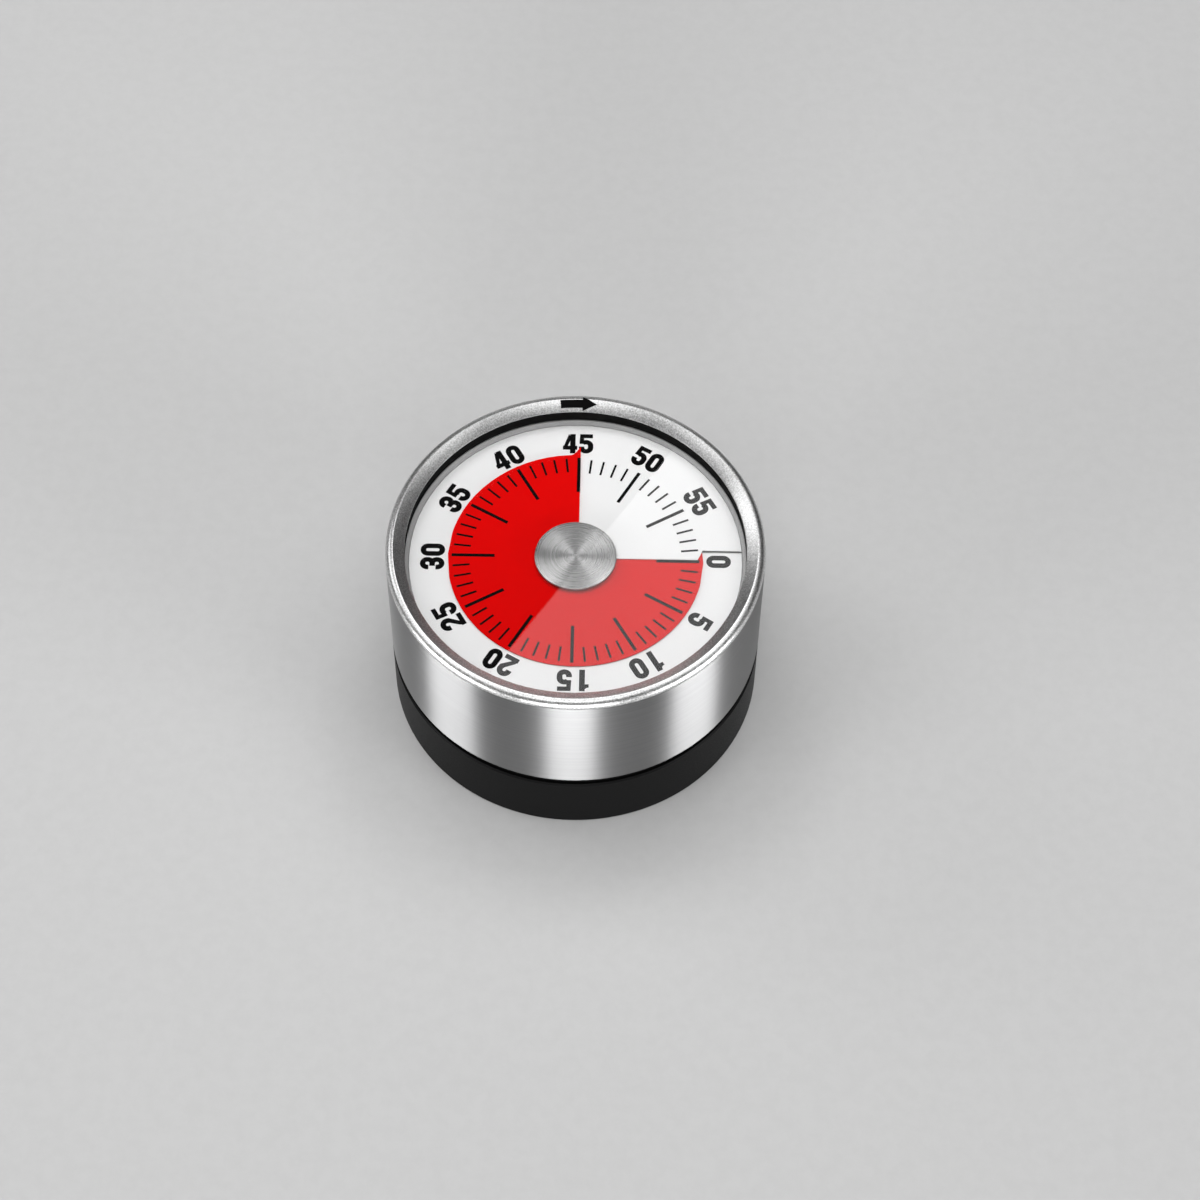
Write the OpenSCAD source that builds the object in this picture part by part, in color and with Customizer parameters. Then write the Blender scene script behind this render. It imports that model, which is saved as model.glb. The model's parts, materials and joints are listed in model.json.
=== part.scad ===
// Mechanical countdown timer, lying on its back with the dial up.
// A steel ring turns on a black base and winds the movement. A red disc threads through the
// slit of a white dial, so that the red sector left showing is the time left to run.
// Millimetres. The origin is the centre of the back face, and the zero mark lies along +X.

/* [Overall] */
// Diameter of the base and of the turning ring
body_d = 80; // [76:0.5:100]
// Height of the fixed base
base_h = 15; // [13.5:0.5:20]
// Height of the open groove between base and ring
ring_gap = 2; // [1.2:0.1:3]
// Height of the brushed sleeve
sleeve_h = 28.3; // [27.5:0.1:36]
// Height of the bezel above the sleeve
bezel_h = 1.7; // [1.4:0.1:2.2]

/* [Turning ring] */
// Width of the bezel from its outer edge to the window
bezel_w = 4; // [3.2:0.1:6]
// Drop of the bezel's inner slope from its crest to the window
bezel_drop = 1.3; // [0.8:0.1:1.4]
// Fine parting groove between bezel and sleeve
parting_w = 0.15; // [0.05:0.05:0.3]
// Sheet thickness of the sleeve
sleeve_t = 0.8; // [0.5:0.1:1]
// Wall of the plastic liner that carries the sleeve
liner_t = 1.7; // [1.2:0.1:2]
// Thickness of the clear lens
lens_t = 1.5; // [1:0.1:2]
// Shoulder of the liner over the lens edge
lens_shoulder = 0.25; // [0.15:0.05:0.5]

/* [Dial] */
// Depth of the dial below the bezel's crest
dial_depth = 6.4; // [6:0.1:8]
// Thickness of each disc sheet
sheet_t = 0.2; // [0.15:0.05:0.3]
// Free space between the two sheets
sheet_gap = 0.15; // [0.1:0.05:0.3]
// Width of the grey chamfer between dial and window
rim_w = 0.7; // [0.4:0.1:1.5]
// Band of the white dial that holds the numerals, outside the red disc
numeral_band = 8.2; // [5:0.1:12]
// Height of the pointer fin over the red disc's edge
fin_h = 2.2; // [1:0.1:4]
// Width of the pointer fin along the red disc's edge
fin_w = 1.9; // [1:0.1:4]
// How far the red disc's leading edge runs past the minute that it shows
red_over = 0.6; // [0.1:0.1:1]
// Sideways jog of the dial's slit that lets the fin through
slit_jog = 2.4; // [1.5:0.1:4]
// Number of pads that hold up the white dial
pad_n = 12; // [6:1:18]
// Diameter of the metal cap at the centre
cap_d = 17.3; // [14:0.1:24]
// Thickness of the metal cap
cap_t = 0.45; // [0.3:0.05:0.8]
// Diameter of the hub neck inside the discs
neck_d = 10; // [8:0.1:12]

/* [Base and case] */
// Wall of the base
base_wall = 2; // [1.5:0.1:3]
// Floor of the base
base_floor = 3; // [2.6:0.1:4]
// Wall of the movement case
case_wall = 1.8; // [1.2:0.1:2.4]
// Thickness of the case flange that closes the base
flange_t = 2; // [1.5:0.1:3]
// Floor of the dial carrier
carrier_t = 1.6; // [1:0.1:2.4]
// Small edge chamfer of the base
edge_c = 0.35; // [0.1:0.05:0.8]
// Width of the glide ring under the liner
glide_w = 1.9; // [1:0.1:2.2]

/* [Back] */
// Number of magnets in the back
magnet_n = 4; // [2:1:4]
// Diameter of a magnet
magnet_d = 12; // [8:0.5:14]
// Thickness of a magnet
magnet_t = 2; // [1:0.1:2.2]
// Diameter of the circle of magnets
magnet_ring_d = 48; // [44:0.5:52]
// Number of sound holes
sound_n = 8; // [4:1:12]
// Diameter of a sound hole
sound_d = 1.8; // [1:0.1:3]
// Diameter of the circle of sound holes
sound_ring_d = 24; // [18:0.5:28]

/* [Screws] */
// Diameter of a screw shank
screw_d = 1.8; // [1.4:0.1:2.2]
// Diameter of a screw head
head_d = 3.6; // [3:0.1:4]
// Height of a screw head
head_t = 1.2; // [0.8:0.1:1.5]
// Width of the drive slot in a screw head
slot_w = 0.5; // [0.3:0.1:0.8]
// Outer diameter of a screw boss
boss_d = 5.2; // [4.6:0.1:6]

/* [Movement] */
// Thickness of the movement plates
plate_t = 1; // [0.8:0.1:1.4]
// Free space between the movement plates
plate_span = 12; // [11.5:0.1:14]
// Diameter of a plate pillar
pillar_d = 3.4; // [2.8:0.1:4]
// Diameter of the circle of pillars
pillar_ring_d = 56; // [54:0.5:58]
// Diameter of the spindle
spindle_d = 5; // [4:0.1:5.6]
// Diameter of the spindle's lower pivot
pivot_d = 2.4; // [1.6:0.1:3]
// Diameter of a train arbor
arbor_d = 1.6; // [1.2:0.1:2]
// Diameter of an arbor's pivots
arbor_pivot_d = 0.9; // [0.6:0.1:1]
// Thickness of a wheel
wheel_t = 0.8; // [0.5:0.1:1]
// Axial space between one wheel level and the next
level_gap = 1.2; // [1:0.1:1.4]
// Outer diameter of the mainspring barrel
barrel_d = 29; // [22:0.5:34]
// Sheet thickness of the barrel
barrel_t = 0.7; // [0.5:0.1:1]
// Number of turns of the mainspring
spring_turns = 7; // [4:1:9]
// Thickness of the mainspring strip
spring_t = 0.35; // [0.2:0.05:0.5]

/* [Going train] */
// Teeth of the main wheel on the spindle
main_teeth = 72; // [66:1:76]
// Teeth of the second wheel
second_teeth = 64; // [58:1:66]
// Teeth of the third wheel
third_teeth = 64; // [58:1:66]
// Leaves of every pinion
leaves = 8; // [7:1:9]
// Tooth module of the main wheel
main_module = 0.4; // [0.38:0.01:0.42]
// Tooth module of the second wheel
second_module = 0.35; // [0.32:0.01:0.36]
// Tooth module of the third wheel
third_module = 0.3; // [0.27:0.01:0.31]
// Direction of the second arbor seen from the spindle
second_dir = 200; // [195:1:205]
// Direction of the third arbor seen from the second
third_dir = 100; // [95:1:105]
// Direction of the escape arbor seen from the third
escape_dir = 45; // [35:1:55]

/* [Escapement] */
// Teeth of the escape wheel
escape_teeth = 15; // [15:1:15]
// Tip diameter of the escape wheel
escape_d = 11; // [9:0.1:11.4]
// Depth of an escape tooth
escape_depth = 1.5; // [1.2:0.1:2]
// Diameter of a pallet pin
pin_d = 0.5; // [0.4:0.05:0.6]
// Angle of each pallet pin from the line to the pallet arbor
pin_angle = 30; // [28:1:32]
// Space between a pallet pin and the tooth tips at mid swing
pin_gap = 0.08; // [0.05:0.01:0.15]
// Direction of the pallet arbor seen from the escape arbor
pallet_dir = 60; // [45:1:75]

/* [Alarm] */
// Diameter of the alarm cam
cam_d = 18; // [14:0.5:19]
// Diameter of the bell's rim
bell_d = 48; // [46:0.5:54]
// Height of the bell
bell_h = 7.5; // [6:0.1:8]
// Sheet thickness of the bell
bell_t = 0.8; // [0.6:0.1:1.2]
// Distance of the hammer arbor from the spindle
hammer_r = 18; // [17.2:0.1:19]
// Direction of the hammer arbor seen from the spindle
hammer_dir = -60; // [-65:1:-55]
// Direction of the hammer head seen from the spindle
head_dir = -100; // [-105:1:-95]
// Diameter of the hammer head
hammer_head_d = 3.2; // [2.4:0.1:4]
// Space between the hammer head and the bell at rest
strike_gap = 0.5; // [0.4:0.05:1]
// Space between the hammer tail and the cam at rest
tail_gap = 0.7; // [0.6:0.05:1.2]

/* [Clearances] */
// Clearance between pressed or bonded pieces
press_gap = 0.02; // [0.01:0.01:0.05]
// Clearance of a piece that drops into its seat
seat_gap = 0.1; // [0.05:0.05:0.2]
// Radial clearance of shafts and pivots
shaft_gap = 0.04; // [0.02:0.01:0.08]
// Running clearance between the ring and the fixed parts
run_gap = 0.4; // [0.3:0.1:0.6]
// Axial clearance of turning parts
turn_gap = 0.3; // [0.2:0.05:0.4]

/* [Hidden] */
$fn = 96;
// Overshoot of a cut past the face that it opens
cut = 1;

// Radii and levels of the ring, from the outside in
body_r = body_d / 2;
ring_z = base_h + ring_gap;
bezel_z = ring_z + sleeve_h;
top_z = bezel_z + bezel_h;
window_r = body_r - bezel_w;
sleeve_in_r = body_r - sleeve_t;
liner_out_r = sleeve_in_r - press_gap;
liner_in_r = liner_out_r - liner_t;
case_out_r = liner_in_r - run_gap;
case_in_r = case_out_r - case_wall;

// Levels of the dial, the cap and the lens
dial_z = top_z - dial_depth;
sheet_rise = 2 * (sheet_t + sheet_gap);
dial_start_z = dial_z - sheet_rise / 2;
cap_z = dial_z + sheet_rise + sheet_t / 2 + sheet_gap;
lens_z = cap_z + cap_t;
rim_z = lens_z - turn_gap;
rim_foot_z = dial_z + sheet_rise / 2 + sheet_t;
dial_edge_r = window_r - rim_w;
dial_r = dial_edge_r - seat_gap;
red_r = dial_r - numeral_band;
carrier_top_z = dial_z - sheet_rise - sheet_t / 2 - turn_gap;
carrier_z = carrier_top_z - carrier_t;
lens_r = window_r + lens_shoulder - press_gap;

// Discs round the hub neck: the red disc's tabs ride in two slots of the neck
neck_r = neck_d / 2;
red_hole_r = neck_r + sheet_gap;
tab_depth = 0.8;
tab_half = 12;
tab_r = neck_r - tab_depth;
tab_slot_w = 2 * neck_r * sin(tab_half) + 2 * turn_gap;
dial_hole_r = neck_r + 1;
carrier_hole_r = neck_r + 2;
hub_flange_r = neck_r + 1.2;
hub_flange_t = 0.8;
set_minute_angle = 270;
step_angle = 5;
pad_half = 3;
pad_inner_r = red_r + fin_h + 1;

// Levels of the movement
back_z = base_h - plate_t;
train_z = base_h;
front_z = train_z + plate_span;
barrel_z = front_z + plate_t;
barrel_top_z = carrier_z - 1;
cover_z = barrel_top_z - barrel_t;
spindle_r = spindle_d / 2;
collar_r = 1.6 * spindle_r;
collar_t = plate_t / 2;
main_z = train_z + collar_t + seat_gap;
main_t = wheel_t * 1.5;
second_z = main_z + main_t + level_gap;
third_z = second_z + wheel_t + level_gap;
escape_z = third_z + wheel_t + level_gap;
pallet_z = escape_z + wheel_t + 0.6;
washer_z = main_z + main_t;
washer_r = 1.25 * collar_r;
washer_t = plate_t / 2;
collet_t = level_gap - washer_t;
cam_z = front_z - plate_span / 4;
cam_t = plate_t;
stop_z = cam_z + cam_t;
stop_t = plate_t;

// Arbor places in plan
function polar(r, a) = [r * cos(a), r * sin(a)];
function center_distance(module_mm, teeth) = module_mm * (teeth + leaves) / 2;
second_at = polar(center_distance(main_module, main_teeth), second_dir);
third_at = second_at + polar(center_distance(second_module, second_teeth), third_dir);
escape_at = third_at + polar(center_distance(third_module, third_teeth), escape_dir);
pin_orbit = escape_d / 2 + pin_d / 2 + pin_gap;
pallet_reach = pin_orbit / cos(pin_angle);
pallet_at = escape_at + polar(pallet_reach, pallet_dir);
hammer_at = polar(hammer_r, hammer_dir);
bell_in_r = bell_d / 2 - bell_t;
head_at = polar(bell_in_r - strike_gap - hammer_head_d / 2, head_dir);
tail_w = 1.2;
tail_at = polar(cam_d / 2 + tail_gap + tail_w / 2, -2);
arbor_places = [second_at, third_at, escape_at, pallet_at, hammer_at];
arm_len = norm(head_at - hammer_at);
arm_dir = atan2(head_at[1] - hammer_at[1], head_at[0] - hammer_at[0]);
hammer_arm_z = train_z + plate_span / 4;
arm_t = 1;
rod_d = 1.4;

// Screw places: lugs join the base to the case, bosses hold the movement and the carrier
lug_dirs = [60, 180, 300];
boss_dirs = [0, 120, 240];
// Pillars stand between lugs and bosses, clear of the train
pillar_dirs = [90, 225, 315];
boss_r = boss_d / 2;
lug_at_r = case_in_r - 0.9;
boss_at_r = case_in_r - boss_r + 0.5;
boss_h = 6;
front_plate_r = pillar_ring_d / 2 + pillar_d / 2 + 0.3;
back_plate_r = case_in_r - turn_gap;
base_head_z = base_floor - head_t;
bell_post_d = 8;
bell_post_z = 1.5 * base_floor;
hole_in_screw = screw_d / 2 + press_gap;
notch_half = 12;
notch_depth = cam_d / 9;
// End stop: a tab on the cam meets a lug under the front plate at zero and at full wind
stop_r = 0.7 * cam_d;
stop_in_r = 0.9 * stop_r;
stop_w = 0.7 * plate_t;
stop_half = asin(stop_w / 2 / stop_in_r);
stop_play = 0.3;
stop_tab_dir = 150;
stop_lug_dir = stop_tab_dir + set_minute_angle + 2 * stop_half + stop_play;
// Pegs that rivet the barrel to the front plate
peg_r = 0.8;
peg_at_r = barrel_d / 2 - 2 * barrel_t;
// Small turn of the red disc's tabs that comes with its overrun edge
red_over_turn = asin(red_over / neck_r);

// Colours of the finishes
black_plastic = [0.05, 0.05, 0.055];
grey_plastic = [0.62, 0.62, 0.62];
steel = [0.72, 0.73, 0.74];
bright_steel = [0.82, 0.83, 0.84];
brass = [0.78, 0.62, 0.3];
red_sheet = [0.83, 0.02, 0.02];
white_sheet = [0.97, 0.97, 0.97];
clear = [0.9, 0.95, 1, 0.3];

// Shared shapes

module at(place, z = 0) { translate([place[0], place[1], z]) children(); }

module ring_of(dirs, r) { for (a = dirs) rotate(a) translate([r, 0, 0]) children(); }

module tube(outer, inner, h) {
    difference() {
        cylinder(r = outer, h = h);
        translate([0, 0, -cut]) cylinder(r = inner, h = h + 2 * cut);
    }
}

// Straight bar with round ends between two places
module bar(from, to, w, h) {
    span = to - from;
    at(from) cylinder(d = w, h = h);
    at(to) cylinder(d = w, h = h);
    at(from) rotate(atan2(span[1], span[0]))
        translate([0, -w / 2, 0]) cube([norm(span), w, h]);
}

// Slotted screw with its head seat at z = 0, head up or down, shank on the other side
module screw(shank, up = true) {
    mirror([0, 0, up ? 0 : 1]) {
        translate([0, 0, -shank]) cylinder(d = screw_d, h = shank);
        difference() {
            cylinder(d = head_d, h = head_t);
            translate([-head_d, -slot_w / 2, head_t / 2]) cube([2 * head_d, slot_w, head_t]);
        }
    }
}

// Cycloidal style teeth: half tooth as [radius step in modules, share of the half width]
wheel_flank = [[-1.5, 1], [0, 1], [0.7, 0.64], [1.25, 0.18]];
leaf_flank = [[-1.75, 1], [0, 1], [0.45, 0.72], [0.7, 0.25]];
wheel_share = 0.46;
leaf_share = 0.33;

function tooth_ring(pitch_r, module_mm, teeth, share, flank) = [
    for (i = [0 : teeth - 1])
        for (side = [-1, 1])
            for (k = [0 : len(flank) - 1])
                let (f = flank[side < 0 ? k : len(flank) - 1 - k])
                polar(pitch_r + f[0] * module_mm,
                      (i + side * share * f[1] / 2) * 360 / teeth)
];

// Spoked wheel with a tooth pointing along the given direction
module wheel(module_mm, teeth, t, bore, toward) {
    pitch_r = module_mm * teeth / 2;
    hole_orbit = pitch_r * 0.56;
    difference() {
        rotate(toward) linear_extrude(t)
            polygon(tooth_ring(pitch_r, module_mm, teeth, wheel_share, wheel_flank));
        translate([0, 0, -cut]) cylinder(r = bore, h = t + 2 * cut);
        for (a = [0 : 72 : 359]) rotate(a) translate([hole_orbit, 0, -cut])
            cylinder(r = pitch_r * 0.23, h = t + 2 * cut);
    }
}

// Pinion with a space between two leaves facing the wheel that drives it
module pinion(module_mm, h, toward) {
    rotate(toward + 180 / leaves) linear_extrude(h)
        polygon(tooth_ring(module_mm * leaves / 2, module_mm, leaves, leaf_share, leaf_flank));
}

// Arbor with a pivot in each plate
module arbor() {
    translate([0, 0, train_z + seat_gap]) cylinder(d = arbor_d, h = plate_span - 2 * seat_gap);
    translate([0, 0, back_z]) cylinder(d = arbor_pivot_d, h = plate_span + 2 * plate_t);
}

// One turn of a thin sheet that climbs like a screw. Each column is a list of
// [radius, clockwise angle, climb angle] from the hub to the rim.
module climbing_sheet(columns, start_z) {
    n = len(columns[0]);
    last = len(columns) - 1;
    function id(k, j, low) = 2 * (k * n + j) + low;
    points = [
        for (column = columns) for (p = column) for (side = [1, -1])
            [p[0] * cos(p[1]), -p[0] * sin(p[1]), start_z + sheet_rise * p[2] / 360 + side * sheet_t / 2]
    ];
    function two(a, b, c, d) = [[a, b, c], [a, c, d]];
    faces = [
        for (k = [0 : last - 1]) each [
            for (j = [0 : n - 2]) each concat(
                two(id(k, j, 0), id(k, j + 1, 0), id(k + 1, j + 1, 0), id(k + 1, j, 0)),
                two(id(k, j, 1), id(k + 1, j, 1), id(k + 1, j + 1, 1), id(k, j + 1, 1))),
            each two(id(k, 0, 0), id(k + 1, 0, 0), id(k + 1, 0, 1), id(k, 0, 1)),
            each two(id(k + 1, n - 1, 0), id(k, n - 1, 0), id(k, n - 1, 1), id(k + 1, n - 1, 1))
        ],
        for (j = [0 : n - 2]) each concat(
            two(id(0, j + 1, 0), id(0, j, 0), id(0, j, 1), id(0, j + 1, 1)),
            two(id(last, j, 0), id(last, j + 1, 0), id(last, j + 1, 1), id(last, j, 1)))
    ];
    polyhedron(points, faces);
}

// Fixed parts

module base_shell() {
    color(black_plastic) difference() {
        union() {
            rotate_extrude() polygon([
                [0, 0], [body_r - edge_c, 0], [body_r, edge_c], [body_r, base_h - edge_c],
                [body_r - edge_c, base_h], [body_r - base_wall, base_h],
                [body_r - base_wall, base_floor], [0, base_floor]
            ]);
            ring_of(lug_dirs, lug_at_r) cylinder(r = boss_r, h = base_h - flange_t);
            cylinder(d = bell_post_d, h = bell_post_z);
        }
        ring_of(lug_dirs, lug_at_r) translate([0, 0, -cut]) {
            cylinder(r = hole_in_screw, h = base_h + cut);
            cylinder(d = head_d + 2 * seat_gap, h = base_floor + cut);
        }
        ring_of([for (i = [0 : magnet_n - 1]) 15 + i * 360 / magnet_n], magnet_ring_d / 2)
            translate([0, 0, -cut]) cylinder(d = magnet_d + 2 * seat_gap, h = magnet_t + cut);
        ring_of([for (i = [0 : sound_n - 1]) i * 360 / sound_n], sound_ring_d / 2)
            translate([0, 0, -cut]) cylinder(d = sound_d, h = base_floor + 2 * cut);
        translate([0, 0, base_floor / 2]) cylinder(r = hole_in_screw, h = bell_post_z);
    }
}

module base_screws() {
    color(steel) ring_of(lug_dirs, lug_at_r) translate([0, 0, base_floor])
        screw(base_h - base_floor + boss_h / 2, up = false);
}

module back_magnets() {
    color([0.45, 0.45, 0.47])
        ring_of([for (i = [0 : magnet_n - 1]) 15 + i * 360 / magnet_n], magnet_ring_d / 2)
            cylinder(d = magnet_d, h = magnet_t);
}

module movement_case() {
    flange_r = body_r - base_wall - seat_gap;
    flange_z = base_h - flange_t;
    color(black_plastic) difference() {
        union() {
            difference() {
                union() {
                    translate([0, 0, flange_z]) cylinder(r = flange_r, h = flange_t);
                    translate([0, 0, flange_z]) cylinder(r = case_out_r, h = carrier_z - flange_z);
                }
                translate([0, 0, flange_z - cut]) cylinder(r = case_in_r, h = carrier_z);
            }
            ring_of(lug_dirs, lug_at_r) translate([0, 0, flange_z + press_gap])
                cylinder(r = boss_r, h = flange_t + boss_h - press_gap);
            ring_of(boss_dirs, boss_at_r) translate([0, 0, base_h]) cylinder(r = boss_r, h = boss_h);
            ring_of(lug_dirs, boss_at_r) translate([0, 0, carrier_z - press_gap - boss_h])
                cylinder(r = boss_r, h = boss_h);
        }
        ring_of(lug_dirs, lug_at_r) translate([0, 0, flange_z - cut])
            cylinder(r = hole_in_screw, h = flange_t + boss_h);
        ring_of(boss_dirs, boss_at_r) translate([0, 0, base_h - cut])
            cylinder(r = hole_in_screw, h = boss_h);
        ring_of(lug_dirs, boss_at_r) translate([0, 0, carrier_z - boss_h + cut])
            cylinder(r = hole_in_screw, h = boss_h);
    }
}

module glide_ring() {
    color(black_plastic) translate([0, 0, base_h])
        tube(case_out_r + seat_gap + glide_w, case_out_r + seat_gap, ring_gap - turn_gap);
}

module dial_carrier() {
    color(grey_plastic) difference() {
        union() {
            rotate_extrude() polygon([
                [carrier_hole_r, carrier_z], [case_out_r, carrier_z], [case_out_r, rim_z],
                [window_r, rim_z], [dial_edge_r, rim_foot_z], [dial_edge_r, carrier_top_z],
                [carrier_hole_r, carrier_top_z]
            ]);
            for (i = [0 : pad_n - 1]) let (a = (i + 0.5) * 360 / pad_n)
                rotate(-a - pad_half) translate([0, 0, carrier_z])
                    rotate_extrude(angle = 2 * pad_half) polygon([
                        [pad_inner_r, 0], [dial_edge_r, 0],
                        [dial_edge_r, pad_top(a) - carrier_z], [pad_inner_r, pad_top(a) - carrier_z]
                    ]);
        }
        ring_of(lug_dirs, boss_at_r) translate([0, 0, carrier_z - cut]) {
            cylinder(r = screw_d / 2 + seat_gap, h = carrier_t + 2 * cut);
            translate([0, 0, cut + carrier_t - head_t])
                cylinder(d = head_d + 2 * seat_gap, h = carrier_t + 2 * cut);
        }
    }
}

// Top of the pad under the white dial at a clockwise angle
function pad_top(a) =
    dial_start_z + sheet_rise * (a - pad_half) / 360 - sheet_t / 2 - press_gap;

module carrier_screws() {
    color(steel) ring_of(lug_dirs, boss_at_r) translate([0, 0, carrier_top_z - head_t])
        screw(carrier_t - head_t + boss_h / 2);
}

// White dial: a flat disc slit from hub to rim, its ends one sheet rise apart
module dial_plate() {
    jog_in_r = red_r - slit_jog / 2;
    jog_out_r = red_r;
    stations = [
        [dial_hole_r, 0], [jog_in_r, 0],
        [jog_out_r, asin(slit_jog / jog_out_r)], [dial_r, asin(slit_jog / dial_r)]
    ];
    color(white_sheet) climbing_sheet(
        [for (a = [0 : step_angle : 360]) [for (s = stations) [s[0], a - s[1], a]]],
        dial_start_z);
}

module plate(r, z) {
    difference() {
        at([0, 0], z) cylinder(r = r, h = plate_t);
        for (p = arbor_places) at(p, z - cut)
            cylinder(r = arbor_pivot_d / 2 + shaft_gap, h = plate_t + 2 * cut);
        ring_of(pillar_dirs, pillar_ring_d / 2) translate([0, 0, z - cut])
            cylinder(r = hole_in_screw, h = plate_t + 2 * cut);
    }
}

module back_plate() {
    slot_in_r = arm_len - rod_d / 2 - turn_gap;
    slot_out_r = arm_len + rod_d / 2 + turn_gap;
    color(brass) difference() {
        plate(back_plate_r, back_z);
        at([0, 0], back_z - cut) cylinder(r = pivot_d / 2 + shaft_gap, h = plate_t + 2 * cut);
        ring_of(lug_dirs, lug_at_r) translate([0, 0, back_z - cut])
            cylinder(r = boss_r + turn_gap, h = plate_t + 2 * cut);
        ring_of(boss_dirs, boss_at_r) translate([0, 0, back_z - cut])
            cylinder(r = screw_d / 2 + seat_gap, h = plate_t + 2 * cut);
        at(hammer_at, back_z - cut) rotate(arm_dir - 17) rotate_extrude(angle = 26)
            translate([slot_in_r, 0]) square([slot_out_r - slot_in_r, plate_t + 2 * cut]);
    }
}

module front_plate() {
    color(brass) {
        difference() {
            plate(front_plate_r, front_z);
            at([0, 0], front_z - cut) cylinder(r = spindle_r + shaft_gap, h = plate_t + 2 * cut);
            ring_of(boss_dirs, peg_at_r) translate([0, 0, front_z - cut])
                cylinder(r = peg_r + press_gap, h = plate_t + 2 * cut);
        }
        rotate(stop_lug_dir) translate([stop_in_r, -stop_w / 2, stop_z + turn_gap])
            cube([stop_r - stop_in_r, stop_w, front_z - stop_z - turn_gap + plate_t / 2]);
    }
}

module plate_pillars() {
    color(steel) ring_of(pillar_dirs, pillar_ring_d / 2) translate([0, 0, train_z])
        tube(pillar_d / 2, hole_in_screw, plate_span);
}

module pillar_screws() {
    color(bright_steel) ring_of(pillar_dirs, pillar_ring_d / 2) {
        translate([0, 0, front_z + plate_t]) screw(plate_t + plate_span / 3);
        translate([0, 0, back_z]) screw(plate_t + plate_span / 3, up = false);
    }
}

module movement_screws() {
    color(bright_steel) ring_of(boss_dirs, boss_at_r) translate([0, 0, back_z])
        screw(plate_t + boss_h / 2, up = false);
}

module spring_barrel() {
    color(brass) {
        difference() {
            translate([0, 0, barrel_z]) cylinder(d = barrel_d, h = cover_z - barrel_z);
            translate([0, 0, barrel_z + barrel_t]) cylinder(r = barrel_d / 2 - barrel_t, h = carrier_z);
            translate([0, 0, barrel_z - cut]) cylinder(r = spindle_r + turn_gap, h = carrier_z);
        }
        ring_of(boss_dirs, peg_at_r) translate([0, 0, front_z])
            cylinder(r = peg_r, h = plate_t + barrel_t);
    }
}

module barrel_cover() {
    color(brass) translate([0, 0, cover_z]) tube(barrel_d / 2, spindle_r + turn_gap, barrel_t);
}

// Flat spiral strip from the spindle to the barrel wall
module mainspring() {
    inner = spindle_r + seat_gap;
    outer = barrel_d / 2 - barrel_t - seat_gap;
    steps = 20 * spring_turns;
    function strip(i, side) = polar(
        inner + side * spring_t + (outer - inner - spring_t) * i / steps, i * 360 * spring_turns / steps);
    color([0.35, 0.38, 0.42]) translate([0, 0, barrel_z + barrel_t + seat_gap])
        linear_extrude(cover_z - barrel_z - barrel_t - 2 * seat_gap)
            polygon([
                for (i = [0 : steps]) strip(i, 1),
                for (i = [steps : -1 : 0]) strip(i, 0)
            ]);
}

// Bell: a shallow cup on a post, mouth towards the movement
module bell() {
    r = bell_d / 2;
    foot_r = bell_post_d / 2 + 2;
    shoulder = bell_h * 0.45;
    z = bell_post_z;
    color(bright_steel) rotate_extrude() polygon([
        [hole_in_screw, z], [foot_r, z], [r - shoulder, z + bell_t],
        for (a = [-75 : 15 : 0])
            [r - shoulder + shoulder * cos(a), z + bell_t + shoulder + shoulder * sin(a)],
        [r, z + bell_h], [r - bell_t, z + bell_h],
        for (a = [0 : -15 : -75])
            [r - shoulder + (shoulder - bell_t) * cos(a),
             z + bell_t + shoulder + (shoulder - bell_t) * sin(a)],
        [r - shoulder, z + 2 * bell_t], [foot_r, z + bell_t], [hole_in_screw, z + bell_t]
    ]);
}

module bell_screw() {
    color(steel) translate([0, 0, bell_post_z + bell_t])
        screw(bell_t + bell_post_z - base_floor / 2 - seat_gap);
}

// Leaf spring that pushes the hammer's tail towards the cam, clipped on a pillar
module hammer_spring() {
    leaf_t = 0.25;
    leaf_h = 2 * cam_t;
    clip_r = pillar_d / 2 + press_gap;
    clip_at = polar(pillar_ring_d / 2, pillar_dirs[2]);
    tail = tail_at - hammer_at;
    outward = polar(tail_w / 2 + leaf_t / 2 + seat_gap, atan2(tail[1], tail[0]) - 90);
    span = hammer_at + tail * 0.6 + outward - clip_at;
    color(bright_steel) at(clip_at, stop_z - 2 * seat_gap - leaf_h) {
        tube(clip_r + leaf_t, clip_r, leaf_h);
        rotate(atan2(span[1], span[0])) translate([clip_r + leaf_t / 2, -leaf_t / 2, seat_gap])
            cube([norm(span) - clip_r, leaf_t, leaf_h - 2 * seat_gap]);
    }
}

// Ring, hub and spindle, which turn together

module bezel() {
    roll = bezel_h;
    crest_r = body_r - roll;
    inner_z = top_z - bezel_drop;
    color(steel) rotate_extrude() polygon([
        [window_r, bezel_z], [body_r - parting_w, bezel_z], [body_r - parting_w, bezel_z + parting_w],
        for (a = [5 : 8.5 : 90]) [crest_r + roll * cos(a), bezel_z + roll * sin(a)],
        [window_r + parting_w, inner_z], [window_r, inner_z - parting_w]
    ]);
}

module ring_sleeve() {
    color(bright_steel) translate([0, 0, ring_z]) tube(body_r, sleeve_in_r, sleeve_h);
}

module ring_liner() {
    color(black_plastic) rotate_extrude() polygon([
        [liner_in_r, ring_z + turn_gap], [liner_out_r, ring_z + turn_gap], [liner_out_r, bezel_z],
        [window_r, bezel_z], [window_r, lens_z + lens_t], [window_r + lens_shoulder, lens_z + lens_t],
        [window_r + lens_shoulder, lens_z], [liner_in_r, lens_z]
    ]);
}

module lens() {
    edge = lens_t / 8;
    color(clear) rotate_extrude() polygon([
        [0, lens_z], [lens_r - edge, lens_z], [lens_r, lens_z + edge],
        [lens_r, lens_z + lens_t], [0, lens_z + lens_t]
    ]);
}

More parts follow.
